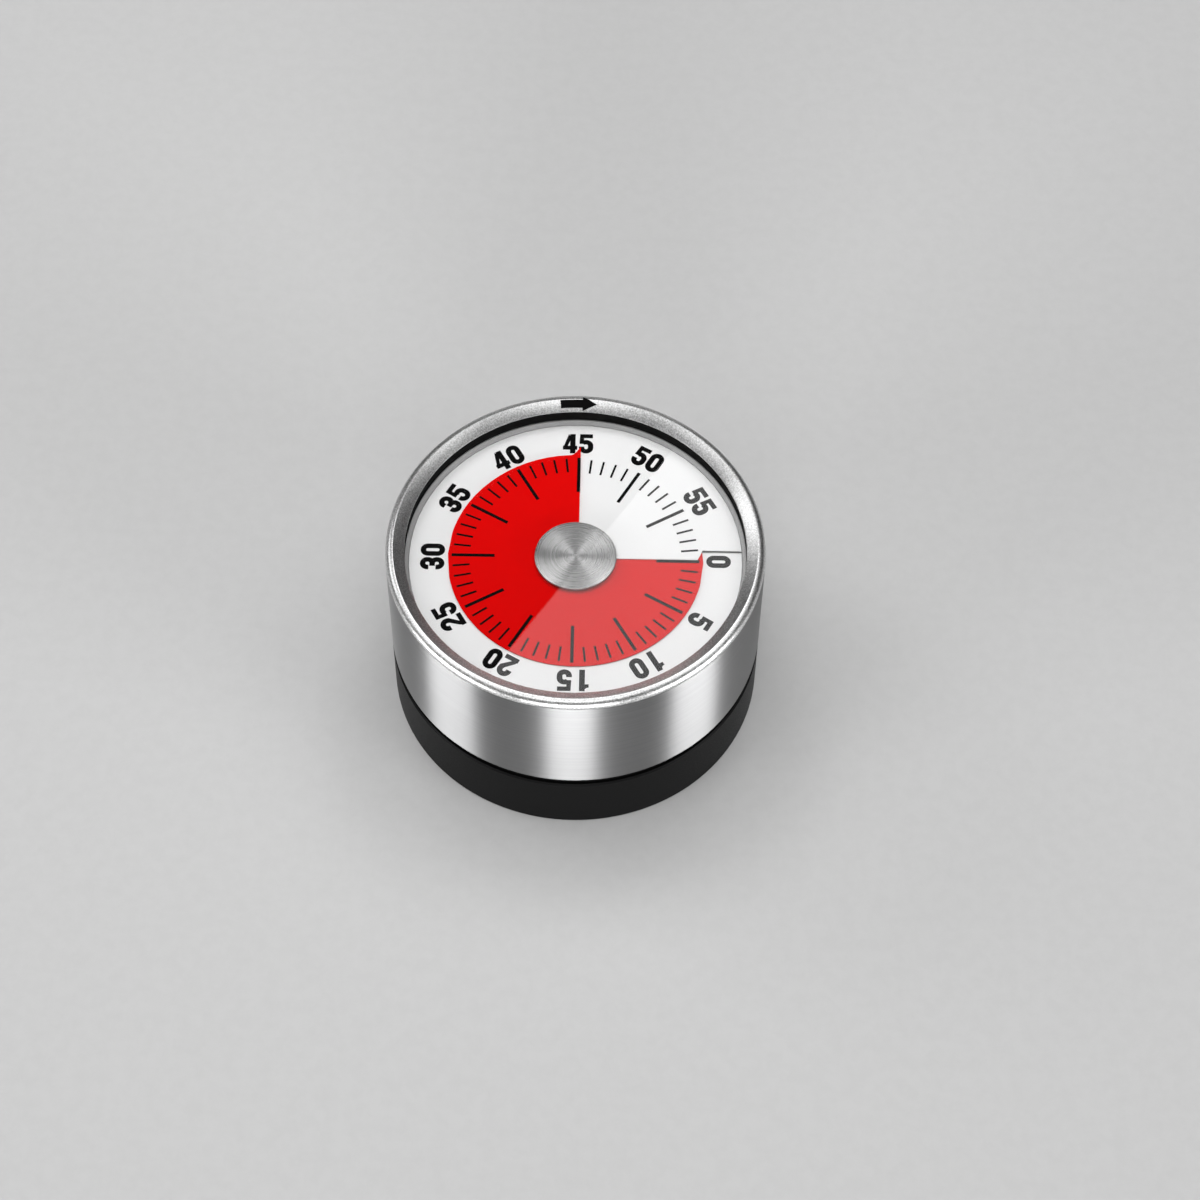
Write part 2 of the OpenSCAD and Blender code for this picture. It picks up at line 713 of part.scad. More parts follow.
module center_cap() {
    bevel = cap_t / 3;
    r = cap_d / 2;
    color(bright_steel) rotate_extrude() polygon([
        [0, cap_z], [r, cap_z], [r, lens_z - bevel], [r - bevel, lens_z], [0, lens_z]
    ]);
}

module drive_hub() {
    hub_z = carrier_z - hub_flange_t / 2;
    color(black_plastic) difference() {
        union() {
            translate([0, 0, hub_z]) cylinder(r = neck_r, h = cap_z - hub_z);
            translate([0, 0, hub_z]) cylinder(r = hub_flange_r, h = hub_flange_t);
        }
        translate([0, 0, hub_z - cut]) cylinder(r = spindle_r + press_gap, h = cap_z - hub_z + 2 * cut);
        for (side = [0, 180]) rotate(side - red_over_turn)
            translate([tab_r - turn_gap, -tab_slot_w / 2, hub_z + hub_flange_t + seat_gap])
                cube([neck_r, tab_slot_w, cap_z]);
    }
}

module spindle() {
    color(steel) {
        translate([0, 0, back_z - head_t]) cylinder(d = pivot_d, h = head_t + plate_t + seat_gap);
        translate([0, 0, train_z + seat_gap]) cylinder(r = collar_r, h = collar_t);
        translate([0, 0, train_z + seat_gap]) cylinder(r = spindle_r, h = cap_z - train_z - seat_gap);
    }
}

module main_wheel() {
    color(brass) translate([0, 0, main_z])
        wheel(main_module, main_teeth, main_t, spindle_r + shaft_gap, second_dir);
}

// Dished spring washer that lets the ring be turned against the train
module clutch_washer() {
    color(bright_steel) rotate_extrude() polygon([
        [spindle_r + shaft_gap, washer_z + washer_t / 2], [washer_r, washer_z],
        [washer_r, washer_z + washer_t / 2], [spindle_r + shaft_gap, washer_z + washer_t]
    ]);
}

module clutch_collet() {
    color(steel) translate([0, 0, washer_z + washer_t])
        tube(spindle_r + 1, spindle_r + press_gap, collet_t);
}

// Alarm cam: the notch lets the hammer fall at zero, the tab meets the end stop
module alarm_cam() {
    color(steel) difference() {
        union() {
            translate([0, 0, cam_z]) cylinder(d = cam_d, h = cam_t);
            translate([0, 0, cam_z]) cylinder(r = collar_r, h = front_z - seat_gap - cam_z);
            rotate(stop_tab_dir) translate([0, -stop_w / 2, stop_z]) cube([stop_r, stop_w, stop_t]);
        }
        translate([0, 0, cam_z - cut]) cylinder(r = spindle_r + press_gap, h = plate_span);
        rotate(-2 - set_minute_angle - notch_half) translate([0, 0, cam_z - cut])
            rotate_extrude(angle = notch_half)
                translate([cam_d / 2 - notch_depth, 0]) square([2 * notch_depth, cam_t + 2 * cut]);
    }
}

// Red disc: slit like the dial, on the same screw, set at the shown minute
module red_disc() {
    first = set_minute_angle;
    fin_turn = fin_w / red_r * 180 / PI;
    tabs = [90, 270];
    function hole(a) = from_tab(a) <= tab_half ? tab_r : red_hole_r;
    function rim(a) = red_r + fin_h * pow(max(0, 1 - (360 - a) / fin_turn), 1.6);
    function from_tab(a) = min([for (t = tabs) abs(a - t)]);
    coarse = [for (a = [0 : step_angle : 360 - 2 * step_angle]) if (from_tab(a) > tab_half + 1) a];
    edges = [for (t = tabs) each [t - tab_half - 0.6, t - tab_half, t, t + tab_half, t + tab_half + 0.6]];
    fin = [for (i = [0 : 6]) 360 - fin_turn * (6 - i) / 6];
    turns = concat(
        [for (a = coarse) if (a < tabs[0]) a], [for (a = edges) if (a < 180) a],
        [for (a = coarse) if (a > tabs[0] && a < tabs[1]) a], [for (a = edges) if (a > 180) a],
        [for (a = coarse) if (a > tabs[1]) a], fin);
    color(red_sheet) climbing_sheet(
        [for (a = turns) [for (r = [hole(a), rim(a)])
            [r, first + a + asin(red_over / r), first + a]]],
        dial_start_z - sheet_rise / 2);
}

// Going train

module second_arbor() {
    color(steel) at(second_at) {
        arbor();
        translate([0, 0, main_z - seat_gap])
            pinion(main_module, main_t + 2 * seat_gap, second_dir + 180);
    }
}

module second_wheel() {
    color(brass) at(second_at, second_z)
        wheel(second_module, second_teeth, wheel_t, arbor_d / 2 + press_gap, third_dir);
}

module third_arbor() {
    color(steel) at(third_at) {
        arbor();
        translate([0, 0, second_z - seat_gap])
            pinion(second_module, wheel_t + 2 * seat_gap, third_dir + 180);
    }
}

module third_wheel() {
    color(brass) at(third_at, third_z)
        wheel(third_module, third_teeth, wheel_t, arbor_d / 2 + press_gap, escape_dir);
}

module escape_arbor() {
    color(steel) at(escape_at) {
        arbor();
        translate([0, 0, third_z - seat_gap])
            pinion(third_module, wheel_t + 2 * seat_gap, escape_dir + 180);
    }
}

module escape_wheel() {
    tip = escape_d / 2;
    pitch = 360 / escape_teeth;
    color(brass) at(escape_at, escape_z) difference() {
        rotate(pallet_dir) linear_extrude(wheel_t) polygon([
            for (i = [0 : escape_teeth - 1]) each [
                polar(tip - escape_depth, (i - 0.22) * pitch), polar(tip, (i - 0.04) * pitch),
                polar(tip, (i + 0.04) * pitch), polar(tip - escape_depth, (i + 0.22) * pitch)]
        ]);
        translate([0, 0, -cut]) cylinder(r = arbor_d / 2 + press_gap, h = wheel_t + 2 * cut);
    }
}

// Pin pallets: the lever rocks over the escape wheel, its two pins reach down to the teeth
module pallet_arbor() { color(steel) at(pallet_at) arbor(); }

function pin_at(side) = escape_at + polar(pin_orbit, pallet_dir + side * pin_angle);

module pallet_lever() {
    arm_w = 1.4;
    poise = pallet_at + polar(pallet_reach * 0.55, pallet_dir);
    color(brass) difference() {
        translate([0, 0, pallet_z]) {
            for (side = [-1, 1]) bar(pallet_at, pin_at(side), arm_w, wheel_t);
            bar(pallet_at, poise, arm_w, wheel_t);
            at(pallet_at) cylinder(d = arbor_d + 2, h = wheel_t);
            at(poise) cylinder(d = 2.4 * arm_w, h = wheel_t);
        }
        at(pallet_at, pallet_z - cut) cylinder(r = arbor_d / 2 + press_gap, h = wheel_t + 2 * cut);
        for (side = [-1, 1]) at(pin_at(side), pallet_z - cut)
            cylinder(r = pin_d / 2 + press_gap, h = wheel_t + 2 * cut);
    }
}

module pallet_pins() {
    color(bright_steel) for (side = [-1, 1]) at(pin_at(side), escape_z)
        cylinder(d = pin_d, h = pallet_z + wheel_t - escape_z);
}

// Alarm hammer

module hammer_arbor() { color(steel) at(hammer_at) arbor(); }

module hammer_arm() {
    hub_d = arbor_d + 1.6;
    color(steel) difference() {
        union() {
            at(hammer_at, hammer_arm_z) cylinder(d = hub_d, h = cam_z + cam_t - seat_gap - hammer_arm_z);
            translate([0, 0, hammer_arm_z]) bar(hammer_at, head_at, tail_w, arm_t);
            at(head_at, hammer_arm_z) cylinder(d = rod_d + 1.2, h = arm_t);
            translate([0, 0, cam_z + seat_gap]) bar(hammer_at, tail_at, tail_w, cam_t - 2 * seat_gap);
        }
        at(hammer_at, train_z) cylinder(r = arbor_d / 2 + press_gap, h = plate_span);
        at(head_at, hammer_arm_z - cut) cylinder(r = rod_d / 2 + press_gap, h = arm_t + 2 * cut);
    }
}

// Rod and striking head, hanging into the bell
module hammer_head() {
    head_h = bell_h / 2;
    color(brass) at(head_at) {
        translate([0, 0, back_z - 2]) cylinder(d = rod_d, h = hammer_arm_z + arm_t - back_z + 2);
        translate([0, 0, bell_post_z + bell_h - head_h]) cylinder(d = hammer_head_d, h = head_h);
        translate([0, 0, bell_post_z + bell_h]) cylinder(d = rod_d, h = back_z - bell_post_z - bell_h);
    }
}

base_shell();
base_screws();
back_magnets();
movement_case();
glide_ring();
dial_carrier();
carrier_screws();
dial_plate();
back_plate();
front_plate();
plate_pillars();
pillar_screws();
movement_screws();
spring_barrel();
barrel_cover();
mainspring();
bell();
bell_screw();
hammer_spring();
bezel();
ring_sleeve();
ring_liner();
lens();
center_cap();
drive_hub();
spindle();
main_wheel();
clutch_washer();
clutch_collet();
alarm_cam();
red_disc();
second_arbor();
second_wheel();
third_arbor();
third_wheel();
escape_arbor();
escape_wheel();
pallet_arbor();
pallet_lever();
pallet_pins();
hammer_arbor();
hammer_arm();
hammer_head();
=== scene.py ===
"""Looks of a round mechanical timer: a turning steel ring over a black base, with a printed dial.

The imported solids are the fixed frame. Turned skins stand for the visible metal and clear pieces,
and the dial's prints are thin inked solids that lie on its two climbing sheets.
Sizes are in millimetres and become metres where a mesh is made.
"""

import json
import logging
import math
from dataclasses import dataclass
from enum import Enum
from typing import Callable, Sequence

import bmesh
import bpy
from mathutils import Matrix, Vector
from mathutils.geometry import delaunay_2d_cdt


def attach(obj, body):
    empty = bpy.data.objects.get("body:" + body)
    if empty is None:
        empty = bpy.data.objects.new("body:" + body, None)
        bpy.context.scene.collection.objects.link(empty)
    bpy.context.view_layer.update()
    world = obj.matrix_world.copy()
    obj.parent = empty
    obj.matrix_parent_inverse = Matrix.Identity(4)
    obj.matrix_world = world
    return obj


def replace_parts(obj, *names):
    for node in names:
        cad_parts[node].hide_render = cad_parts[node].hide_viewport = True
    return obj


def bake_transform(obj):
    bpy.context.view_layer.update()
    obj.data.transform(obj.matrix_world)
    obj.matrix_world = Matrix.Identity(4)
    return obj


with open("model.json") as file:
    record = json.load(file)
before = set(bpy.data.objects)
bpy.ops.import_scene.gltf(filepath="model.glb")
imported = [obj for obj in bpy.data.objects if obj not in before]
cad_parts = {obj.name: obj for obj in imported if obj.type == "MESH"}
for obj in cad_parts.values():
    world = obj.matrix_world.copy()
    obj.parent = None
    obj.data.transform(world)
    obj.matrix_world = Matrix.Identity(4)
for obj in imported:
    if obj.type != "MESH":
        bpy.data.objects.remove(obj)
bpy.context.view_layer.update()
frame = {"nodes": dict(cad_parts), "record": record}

MM = 0.001
MERGE = 1e-5
SHARP = math.radians(32)
BLOTCHES = (60.0, 0.25)
ACROSS = 0.25
LOG = logging.getLogger("timer")

Color = tuple[float, float, float]
Point = tuple[float, float]
Span = tuple[float, float]


class Body(Enum):
    """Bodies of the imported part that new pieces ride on."""

    BASE = "base"
    RING = "ring"
    DISC = "disc"
    HAMMER = "hammer"


class Pattern(Enum):
    """Surface patterns, each one a shared shader node group."""

    GRAIN = "Fine grain"
    TURNED = "Turned lines"


class NodeTree:
    """Adds and links shader nodes in one tree."""

    def __init__(self, tree: bpy.types.NodeTree) -> None:
        """Keeps the tree and empties it."""
        self.tree = tree
        tree.nodes.clear()

    def add(self, kind: str, inputs: dict | None = None, **settings: object) -> bpy.types.Node:
        """Adds a node.

        Args:
            kind: The node's type.
            inputs: Values of its input sockets, or output sockets to link to them.
            settings: Attributes to set on the node.

        Returns:
            The new node.
        """
        node = self.tree.nodes.new(kind)
        for name, value in settings.items():
            setattr(node, name, value)
        for name, value in (inputs or {}).items():
            if isinstance(value, bpy.types.NodeSocket):
                self.link(value, node.inputs[name])
            else:
                node.inputs[name].default_value = value
        return node

    def link(self, source: bpy.types.NodeSocket, target: bpy.types.NodeSocket) -> None:
        """Links an output socket to an input socket."""
        self.tree.links.new(source, target)

    def math(self, operation: str, first: object, second: object = 0.0) -> bpy.types.NodeSocket:
        """Adds a Math node and returns its result.

        Args:
            operation: The operation's name.
            first: First value or socket.
            second: Second value or socket.

        Returns:
            The result's socket.
        """
        return self.add("ShaderNodeMath", {0: first, 1: second}, operation=operation).outputs[0]


def new_group(name: str, inputs: Sequence[str], outputs: Sequence[str]) -> tuple[NodeTree, dict, dict]:
    """Makes a shader node group with value sockets.

    Args:
        name: The group's name.
        inputs: Names of the input sockets.
        outputs: Names of the output sockets.

    Returns:
        The tree, its inputs by name and its output node's inputs by name.
    """
    group = bpy.data.node_groups.new(name, "ShaderNodeTree")
    for label in inputs:
        group.interface.new_socket(label, in_out="INPUT", socket_type="NodeSocketFloat")
    for label in outputs:
        group.interface.new_socket(label, in_out="OUTPUT", socket_type="NodeSocketFloat")
    tree = NodeTree(group)
    entry = tree.add("NodeGroupInput")
    leave = tree.add("NodeGroupOutput")
    return tree, dict(entry.outputs.items()), dict(leave.inputs.items())


def build_grain() -> None:
    """Builds the grain group: a fine moulded or blasted grain, with faint large blotches."""
    tree, entry, leave = new_group(Pattern.GRAIN.value, ["First", "Second", "Third"], ["Height", "Blotch"])
    place = tree.add("ShaderNodeTexCoord").outputs["Object"]
    fine = tree.add("ShaderNodeTexNoise", {
        "Vector": place, "Scale": entry["First"], "Detail": 4.0, "Roughness": 0.65})
    wide = tree.add("ShaderNodeTexNoise", {
        "Vector": place, "Scale": entry["Second"], "Detail": 3.0, "Roughness": 0.5})
    softened = tree.math("MULTIPLY", wide.outputs[0], entry["Third"])
    crisp = tree.add("ShaderNodeMapRange", {"Value": fine.outputs[0], "From Min": 0.36, "From Max": 0.64})
    tree.link(fine.outputs[0], leave["Height"])
    tree.link(tree.math("ADD", crisp.outputs[0], softened), leave["Blotch"])


def build_turned() -> None:
    """Builds the turned group: fine lines round the Z axis, along the height or the radius."""
    tree, entry, leave = new_group(Pattern.TURNED.value, ["First", "Second", "Third"], ["Height", "Blotch"])
    place = tree.add("ShaderNodeTexCoord").outputs["Object"]
    axes = tree.add("ShaderNodeSeparateXYZ", {0: place})
    square = tree.math("ADD", tree.math("POWER", axes.outputs[0], 2.0),
                       tree.math("POWER", axes.outputs[1], 2.0))
    radius = tree.math("SQRT", square)
    along = tree.math("ADD", tree.math("MULTIPLY", radius, entry["First"]),
                      tree.math("MULTIPLY", axes.outputs[2], entry["Second"]))
    stretched = tree.add("ShaderNodeCombineXYZ", {
        0: tree.math("MULTIPLY", axes.outputs[0], entry["Third"]),
        1: tree.math("MULTIPLY", axes.outputs[1], entry["Third"]),
        2: along})
    fine = tree.add("ShaderNodeTexNoise", {
        "Vector": stretched.outputs[0], "Scale": 1.0, "Detail": 5.0, "Roughness": 0.7})
    coarse = tree.add("ShaderNodeTexNoise", {
        "Vector": stretched.outputs[0], "Scale": 0.22, "Detail": 2.0, "Roughness": 0.5})
    tree.link(fine.outputs[0], leave["Height"])
    both = tree.math("ADD", fine.outputs[0], coarse.outputs[0])
    tree.link(tree.math("MULTIPLY", both, 0.5), leave["Blotch"])


@dataclass(frozen=True)
class Surface:
    """A named finish, whose material is built once."""

    name: str

    def material(self) -> bpy.types.Material:
        """Builds the material, or returns the one that is already built."""
        label = f"finish_{self.name}"
        if label not in bpy.data.materials:
            made = bpy.data.materials.new(label)
            made.use_nodes = True
            self.paint(NodeTree(made.node_tree))
        return bpy.data.materials[label]

    def paint(self, tree: NodeTree) -> None:
        """Fills the material's node tree."""
        raise NotImplementedError


@dataclass(frozen=True)
class Finish(Surface):
    """A finish with two tones, a roughness span and a shared pattern with its own values."""

    light: Color
    dark: Color
    rough: Span
    pattern: Pattern
    scales: tuple[float, float, float]
    bump: float
    metallic: float = 0.0
    specular: float = 0.5
    anisotropic: float = 0.0
    stretch_turn: float = 0.0

    def paint(self, tree: NodeTree) -> None:
        """Lays the pattern's tones, roughness and relief on a principled shader."""
        pattern = tree.add("ShaderNodeGroup", node_tree=bpy.data.node_groups[self.pattern.value])
        for socket, value in zip(pattern.inputs, self.scales):
            socket.default_value = value
        tone = tree.add("ShaderNodeMix", {
            "Factor": pattern.outputs["Blotch"]}, data_type="RGBA", clamp_factor=True)
        tone.inputs["A"].default_value = (*self.dark, 1)
        tone.inputs["B"].default_value = (*self.light, 1)
        rough = tree.add("ShaderNodeMapRange", {
            "Value": pattern.outputs["Blotch"], "From Min": 0.25, "From Max": 0.8,
            "To Min": self.rough[0], "To Max": self.rough[1]})
        relief = tree.add("ShaderNodeBump", {
            "Height": pattern.outputs["Height"], "Strength": 1.0, "Distance": self.bump * MM})
        shader = tree.add("ShaderNodeBsdfPrincipled", {
            "Base Color": tone.outputs["Result"], "Roughness": rough.outputs[0],
            "Normal": relief.outputs[0], "Metallic": self.metallic,
            "Specular IOR Level": self.specular, "Anisotropic": self.anisotropic,
            "Anisotropic Rotation": self.stretch_turn})
        if self.anisotropic:
            tangent = tree.add("ShaderNodeTangent", direction_type="RADIAL", axis="Z")
            tree.link(tangent.outputs[0], shader.inputs["Tangent"])
        tree.add("ShaderNodeOutputMaterial", {"Surface": shader.outputs[0]})


@dataclass(frozen=True)
class ClearFinish(Surface):
    """A clear, polished finish that bends what the eye sees and lets light straight through."""

    tint: Color
    roughness: float
    index: float

    def paint(self, tree: NodeTree) -> None:
        """Mixes glass with a clear passage for light, and for blurred mirroring from under the lens."""
        shader = tree.add("ShaderNodeBsdfPrincipled", {
            "Base Color": (*self.tint, 1), "Roughness": self.roughness, "IOR": self.index,
            "Transmission Weight": 1.0})
        passing = tree.add("ShaderNodeBsdfTransparent", {"Color": (*self.tint, 1)})
        path = tree.add("ShaderNodeLightPath").outputs
        facing = tree.add("ShaderNodeNewGeometry").outputs["True Normal"]
        upward = tree.add("ShaderNodeSeparateXYZ", {0: facing}).outputs[2]
        from_below = tree.math("LESS_THAN", upward, 0.0)
        blurred = tree.math("SUBTRACT", path["Is Glossy Ray"], path["Is Singular Ray"])
        leaving = tree.math("MAXIMUM", path["Is Diffuse Ray"], tree.math("MULTIPLY", blurred, from_below))
        straight = tree.math("MAXIMUM", path["Is Shadow Ray"], leaving)
        mixed = tree.add("ShaderNodeMixShader", {0: straight, 1: shader.outputs[0], 2: passing.outputs[0]})
        tree.add("ShaderNodeOutputMaterial", {"Surface": mixed.outputs[0]})


def plastic(name: str, light: Color, dark: Color, rough: Span, bump: float = 0.004,
            grain: float = 4500.0, specular: float = 0.5) -> Finish:
    """A moulded or printed plastic with a fine grain.

    Args:
        name: The finish's name.
        light: Tone at the top of the grain.
        dark: Tone in the grain.
        rough: Lowest and highest roughness.
        bump: Depth of the grain.
        grain: Grains per metre.
        specular: Strength of the gloss.

    Returns:
        The finish.
    """
    return Finish(name, light, dark, rough, Pattern.GRAIN, (grain, *BLOTCHES), bump, specular=specular)


def metal(name: str, light: Color, dark: Color, rough: Span, lines: tuple[float, float, float],
          bump: float, stretch: float = 0.0) -> Finish:
    """A turned or brushed metal with lines round the axis.

    Args:
        name: The finish's name.
        light: Lighter tone of the lines.
        dark: Darker tone of the lines.
        rough: Lowest and highest roughness.
        lines: Lines per metre of radius, lines per metre of height, and drift along a line.
        bump: Depth of the lines.
        stretch: How far the highlights stretch across the lines.

    Returns:
        The finish.
    """
    return Finish(name, light, dark, rough, Pattern.TURNED, lines, bump, 1.0,
                  anisotropic=stretch, stretch_turn=ACROSS if stretch else 0.0)


def grey(tone: float) -> Color:
    """An even grey."""
    return tone, tone, tone


INK = plastic("ink", grey(0.002), grey(0.001), (0.7, 0.8), bump=0.001, grain=6000.0, specular=0.03)

FINISHES: tuple[Surface, ...] = (
    plastic("black_base", (0.0035, 0.0035, 0.0036), grey(0.002), (0.34, 0.44),
            bump=0.003, grain=3800.0, specular=0.05),
    plastic("black_plastic", grey(0.003), grey(0.0015), (0.6, 0.75), specular=0.03),
    plastic("grey_plastic", grey(0.3), grey(0.27), (0.4, 0.5)),
    plastic("white_sheet", grey(0.93), grey(0.91), (0.45, 0.55), 0.001),
    plastic("red_sheet", (0.77, 0.0012, 0.001), (0.74, 0.0008, 0.0008), (0.5, 0.6), 0.001, specular=0.0),
    metal("brushed_steel", (0.37, 0.37, 0.375), grey(0.22), (0.36, 0.46), (0.0, 9000.0, 25.0), 0.0025, 1.0),
    Finish("satin_steel", grey(0.72), grey(0.34), (0.28, 0.38), Pattern.GRAIN,
           (3200.0, 90.0, 0.1), 0.018, 1.0),
    ClearFinish("clear_lens", grey(1.0), 0.0, 1.49),
    metal("spun_metal", grey(0.46), grey(0.2), (0.24, 0.32), (14000.0, 0.0, 30.0), 0.0004, 1.0),
    metal("screw_steel", grey(0.5), grey(0.36), (0.3, 0.42), (5000.0, 5000.0, 400.0), 0.002),
    Finish("magnet", (0.5, 0.5, 0.52), (0.4, 0.4, 0.41), (0.22, 0.36), Pattern.GRAIN,
           (3000.0, 120.0, 0.4), 0.002, 1.0),
    metal("brass", (0.66, 0.45, 0.15), (0.52, 0.34, 0.1), (0.28, 0.42), (2500.0, 6000.0, 300.0), 0.002),
    metal("arbor_steel", (0.48, 0.48, 0.49), (0.36, 0.36, 0.37), (0.25, 0.38),
          (4000.0, 7000.0, 200.0), 0.001),
    metal("spring_steel", (0.16, 0.18, 0.24), (0.1, 0.11, 0.15), (0.25, 0.4),
          (3000.0, 5000.0, 200.0), 0.001),
    metal("bell_steel", grey(0.62), grey(0.54), (0.12, 0.22), (3500.0, 3500.0, 60.0), 0.001),
)
SLOT_FINISH = {finish.name: finish for finish in FINISHES}


def object_from(name: str, mesh: bmesh.types.BMesh, finish: Surface) -> bpy.types.Object:
    """Turns a mesh in millimetres into a smooth-shaded object at the origin, in metres.

    Args:
        name: The object's name.
        mesh: The mesh, which is freed.
        finish: The finish that it gets.

    Returns:
        The object.
    """
    bmesh.ops.scale(mesh, vec=(MM, MM, MM), verts=mesh.verts)
    for edge in mesh.edges:
        edge.smooth = len(edge.link_faces) == 2 and edge.calc_face_angle(0.0) < SHARP
    for face in mesh.faces:
        face.smooth = True
    data = bpy.data.meshes.new(name)
    mesh.to_mesh(data)
    mesh.free()
    data.materials.append(finish.material())
    made = bpy.data.objects.new(name, data)
    bpy.context.scene.collection.objects.link(made)
    return made


def lathe(profile: Sequence[Point], closed: bool, steps: int = 256) -> bmesh.types.BMesh:
    """Spins a profile round the Z axis.

    Args:
        profile: Radius and height of each corner.
        closed: True where the profile is a loop, False where both its ends lie on the axis.
        steps: Steps of the turn.

    Returns:
        The closed mesh, in millimetres.
    """
    mesh = bmesh.new()
    corners = [mesh.verts.new((r, 0, z)) for r, z in profile]
    pairs = list(zip(corners, corners[1:]))
    if closed:
        pairs.append((corners[-1], corners[0]))
    edges = [mesh.edges.new(pair) for pair in pairs]
    bmesh.ops.spin(mesh, geom=corners + edges, cent=(0, 0, 0), axis=(0, 0, 1), dvec=(0, 0, 0),
                   angle=math.tau, steps=steps, use_merge=True, use_duplicate=False)
    bmesh.ops.remove_doubles(mesh, verts=mesh.verts, dist=MERGE)
    bmesh.ops.recalc_face_normals(mesh, faces=mesh.faces)
    return mesh


def fillet(center: Point, radius: float, start: float, end: float, steps: int = 5) -> list[Point]:
    """Points of an arc in a profile.

    Args:
        center: Radius and height of the arc's centre.
        radius: Radius of the arc.
        start: First angle, in degrees from outwards to up.
        end: Last angle.
        steps: Steps along the arc.

    Returns:
        The points in order.
    """
    turns = [math.radians(start + (end - start) * i / steps) for i in range(steps + 1)]
    return [(center[0] + radius * math.cos(t), center[1] + radius * math.sin(t)) for t in turns]


class Pen:
    """Draws flat ribbon strokes by moving a nib, which is one edge of a mesh."""

    def __init__(self, mesh: bmesh.types.BMesh) -> None:
        """Keeps the mesh that the strokes go into."""
        self.mesh = mesh
        self.ends: list[bmesh.types.BMVert] = []

    def nib(self, first: Point, second: Point) -> "Pen":
        """Starts a stroke with the nib between two points."""
        self.ends = [self.mesh.verts.new((*first, 0)), self.mesh.verts.new((*second, 0))]
        self.mesh.edges.new(self.ends)
        return self

    def _edge(self) -> bmesh.types.BMEdge:
        """The nib's edge."""
        return self.mesh.edges.get(self.ends)

    def _take(self, geometry: Sequence[object], places: Sequence[Vector]) -> None:
        """Takes the new nib from an operator's result, in the order of the places."""
        verts = [item for item in geometry if isinstance(item, bmesh.types.BMVert)]
        self.ends = [min(verts, key=lambda v: (v.co - place).length) for place in places]

    def line(self, first: Point, second: Point) -> "Pen":
        """Moves the nib straight to two new points."""
        places = [end.co.copy() for end in self.ends]
        result = bmesh.ops.extrude_edge_only(self.mesh, edges=[self._edge()])
        self._take(result["geom"], places)
        self.ends[0].co = (*first, 0)
        self.ends[1].co = (*second, 0)
        return self

    def arc(self, center: Point, degrees: float, steps: int = 14) -> "Pen":
        """Turns the nib round a centre, clockwise for a negative angle."""
        pivot = Vector((*center, 0))
        angle = math.radians(degrees)
        turn = Matrix.Rotation(angle, 3, "Z")
        places = [pivot + turn @ (end.co - pivot) for end in self.ends]
        result = bmesh.ops.spin(self.mesh, geom=self.ends + [self._edge()], cent=pivot, axis=(0, 0, 1),
                                dvec=(0, 0, 0), angle=angle, steps=steps, use_duplicate=False)
        self._take(result["geom_last"], places)
        return self


def merged_outline(strokes: bmesh.types.BMesh) -> bmesh.types.BMesh:
    """Joins overlapping flat strokes into one flat shape.

    Args:
        strokes: The strokes, which are freed.

    Returns:
        One flat mesh that faces up.
    """
    strokes.normal_update()
    bmesh.ops.reverse_faces(strokes, faces=[face for face in strokes.faces if face.normal.z < 0])
    strokes.verts.index_update()
    points = [v.co.xy for v in strokes.verts]
    faces = [[v.index for v in face.verts] for face in strokes.faces]
    places, _, cells, _, _, sources = delaunay_2d_cdt(points, [], faces, 0, MERGE)
    strokes.free()
    mesh = bmesh.new()
    corners = [mesh.verts.new((*place, 0)) for place in places]
    for cell, source in zip(cells, sources):
        if source:
            mesh.faces.new([corners[i] for i in cell])
    bmesh.ops.delete(mesh, geom=[v for v in mesh.verts if not v.link_faces], context="VERTS")
    mesh.normal_update()
    bmesh.ops.reverse_faces(mesh, faces=[face for face in mesh.faces if face.normal.z < 0])
    return mesh


def thicken(mesh: bmesh.types.BMesh, height: float) -> None:
    """Makes flat shapes that face up into closed solids of the given height.

    Args:
        mesh: The mesh to change.
        height: Height of the solids.
    """
    flat = list(mesh.faces)
    result = bmesh.ops.extrude_face_region(mesh, geom=flat, use_keep_orig=True)
    raised = [item for item in result["geom"] if isinstance(item, bmesh.types.BMVert)]
    bmesh.ops.translate(mesh, verts=raised, vec=(0, 0, height))
    bmesh.ops.reverse_faces(mesh, faces=flat)


def gather(pieces: Sequence[bmesh.types.BMesh]) -> bmesh.types.BMesh:
    """Joins meshes into one.

    Args:
        pieces: The meshes, which are freed.

    Returns:
        The whole mesh.
    """
    whole = bmesh.new()
    for piece in pieces:
        scratch = bpy.data.meshes.new("print")
        piece.to_mesh(scratch)
        piece.free()
        whole.from_mesh(scratch)
        bpy.data.meshes.remove(scratch)
    return whole


